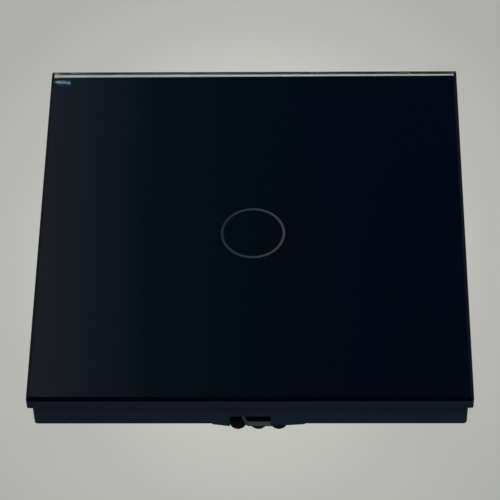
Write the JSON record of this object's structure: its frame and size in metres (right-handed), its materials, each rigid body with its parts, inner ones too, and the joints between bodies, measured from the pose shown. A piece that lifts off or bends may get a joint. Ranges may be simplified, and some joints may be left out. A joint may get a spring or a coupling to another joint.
{
  "type": "touch light switch",
  "caption": "Square wall switch with a black bevelled glass touch panel and ring mark on a snap-off frame, over a wall base with touch board, relay and screw terminals.",
  "frame": {"origin": "middle of the two wall-screw slots, in the plane of the wall", "axes": "+Z out of the wall through the glass face, +Y up the wall, away from the pry notch, +X to the right as the face is seen"},
  "size_m": [0.08, 0.08, 0.0303],
  "materials": {
    "clear_glass": "polished float glass with ground edges",
    "black_print": "black enamel behind glass",
    "grey_mark": "grey translucent ink behind glass",
    "foam_tape": "black foam tape",
    "frame_plastic": "fine matt moulding",
    "base_plastic": "matt moulding",
    "spring_steel": "bare spring steel strip",
    "circuit_board": "green solder resist",
    "plated_spring": "plated spring bronze",
    "diffuser": "milky clear moulding",
    "lamp_case": "cast resin",
    "chip_case": "moulded epoxy",
    "chip_ceramic": "fired ceramic",
    "gold_pins": "flash gold on brass",
    "socket_plastic": "glass-filled moulding",
    "housing_plastic": "fine spark texture",
    "zinc_steel": "zinc-plated steel",
    "relay_plastic": "glossy moulding",
    "bobbin_plastic": "natural moulding",
    "copper_wire": "enamelled copper winding",
    "soft_iron": "plated soft iron",
    "brass_parts": "stamped brass",
    "block_plastic": "matt moulding",
    "film_case": "moulded case",
    "capacitor_sleeve": "shrunk sleeve",
    "varistor_coat": "dipped epoxy",
    "ferrite": "ground ferrite",
    "fuse_case": "moulded case"
  },
  "bodies": {
    "base": {"mounting_base": "base_plastic", "panel_clips": "spring_steel", "touch_board": "circuit_board", "touch_spring": "plated_spring", "light_guide": "diffuser", "indicator_leds": "lamp_case", "touch_chip": "chip_case", "board_chips": "chip_ceramic", "header_pins": "gold_pins", "header_socket": "socket_plastic", "rear_housing": "housing_plastic", "housing_screws": "zinc_steel", "power_board": "circuit_board", "relay_base": "socket_plastic", "relay_cover": "relay_plastic", "relay_bobbin": "bobbin_plastic", "relay_winding": "copper_wire", "relay_yoke": "soft_iron", "relay_contact": "brass_parts", "relay_leaf": "plated_spring", "terminal_block": "block_plastic", "terminal_bars": "brass_parts", "film_capacitor": "film_case", "bulk_capacitor": "capacitor_sleeve", "varistor": "varistor_coat", "inductor": "ferrite", "rectifier": "chip_case", "fuse": "fuse_case"},
    "front_panel": {"glass_panel": "clear_glass", "back_print": "black_print", "touch_mark": "grey_mark", "panel_tape": "foam_tape", "panel_frame": "frame_plastic"},
    "armature": {"relay_armature": "soft_iron"},
    "screw_line": {"terminal_screw_line": "zinc_steel"},
    "screw_load": {"terminal_screw_load": "zinc_steel"},
    "cage_line": {"terminal_cage_line": "brass_parts"},
    "cage_load": {"terminal_cage_load": "brass_parts"}
  },
  "joints": [
    {"name": "panel_pull", "type": "slide", "parent": "base", "child": "front_panel", "axis": [0, 0, 1], "range_m": [0, 0.025], "deforming": ["panel_clips", "touch_spring"]},
    {"name": "armature_swing", "type": "hinge", "parent": "base", "child": "armature", "pos_m": [-0.018, -0.0057, -0.0135], "axis": [0, -1, 0], "range_deg": [0, 4], "stiffness_Nm_per_rad": 0.01, "springref_deg": -5.73, "deforming": ["relay_leaf"]},
    {"name": "screw_line_turn", "type": "hinge", "parent": "base", "child": "screw_line", "pos_m": [-0.0039, -0.01835, -0.016], "axis": [0, 0, 1], "range_deg": [0, 1440]},
    {"name": "cage_line_slide", "type": "slide", "parent": "base", "child": "cage_line", "axis": [0, 0, -1], "range_m": [0, 0.002]},
    {"name": "screw_load_turn", "type": "hinge", "parent": "base", "child": "screw_load", "pos_m": [0.0039, -0.01835, -0.016], "axis": [0, 0, 1], "range_deg": [0, 1440]},
    {"name": "cage_load_slide", "type": "slide", "parent": "base", "child": "cage_load", "axis": [0, 0, -1], "range_m": [0, 0.002]}
  ],
  "couplings": [
    {"joint": "screw_line_turn", "follows": "cage_line_slide", "rad_per_m": 12566},
    {"joint": "screw_load_turn", "follows": "cage_load_slide", "rad_per_m": 12566}
  ]
}
